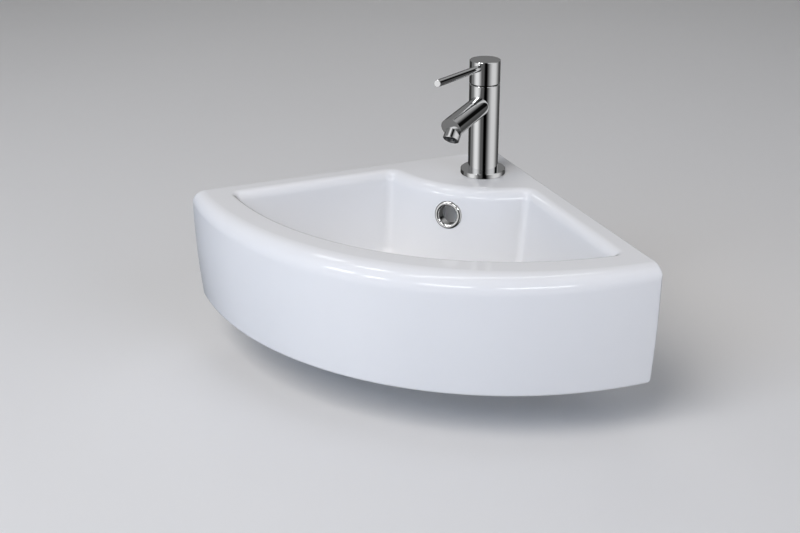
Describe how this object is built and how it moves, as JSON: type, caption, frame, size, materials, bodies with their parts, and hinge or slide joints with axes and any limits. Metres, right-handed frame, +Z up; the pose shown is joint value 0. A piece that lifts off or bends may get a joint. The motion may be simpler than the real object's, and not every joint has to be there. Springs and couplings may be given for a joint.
{
  "type": "corner basin with tap",
  "caption": "Wall-hung corner hand basin: quarter-round ceramic bowl with a lever pillar tap, overflow ring and push-open waste.",
  "frame": {"origin": "the line where the two house walls meet, at the height of the rim", "axes": "+X to the right across the front, +Y to the wall corner, away from the user, +Z up; the walls run at 45 degrees to X and Y"},
  "size_m": [0.4508, 0.3183, 0.2748],
  "materials": {
    "white_ceramic": "gloss white glaze",
    "bright_chrome": "mirror",
    "brass": "turned",
    "steel": "satin",
    "black_rubber": "matt",
    "aerator_plastic": "satin",
    "disc_ceramic": "lapped"
  },
  "bodies": {
    "basin": {"basin_body": "white_ceramic", "overflow_ring": "bright_chrome", "base_flange": "bright_chrome", "tap_body": "bright_chrome", "spout": "bright_chrome", "nozzle": "bright_chrome", "aerator": "aerator_plastic", "base_gasket": "black_rubber", "tap_shank": "brass", "deck_washer": "black_rubber", "clamp_washer": "steel", "tap_backnut": "brass", "headwork_body": "brass", "headwork_seat": "black_rubber", "fixed_disc": "disc_ceramic", "waste_body": "bright_chrome", "waste_gasket": "black_rubber", "lower_gasket": "black_rubber", "waste_backnut": "bright_chrome", "click_cartridge": "brass", "plug_spring": "steel"},
    "handle": {"handle_cap": "bright_chrome", "lever_pin": "bright_chrome", "grub_screw": "steel", "spindle": "brass", "spindle_ring": "black_rubber", "turning_disc": "disc_ceramic"},
    "plug": {"plug_cap": "bright_chrome", "plug_seal": "black_rubber", "plug_stem": "steel"}
  },
  "joints": [
    {"name": "handle_turn", "type": "hinge", "parent": "basin", "child": "handle", "pos_m": [0.0137, -0.0699, 0.102], "axis": [0, 0, 1], "range_deg": [0, 70]},
    {"name": "plug_lift", "type": "slide", "parent": "basin", "child": "plug", "axis": [0, 0, 1], "range_m": [0, 0.009], "deforming": ["plug_spring"]}
  ]
}
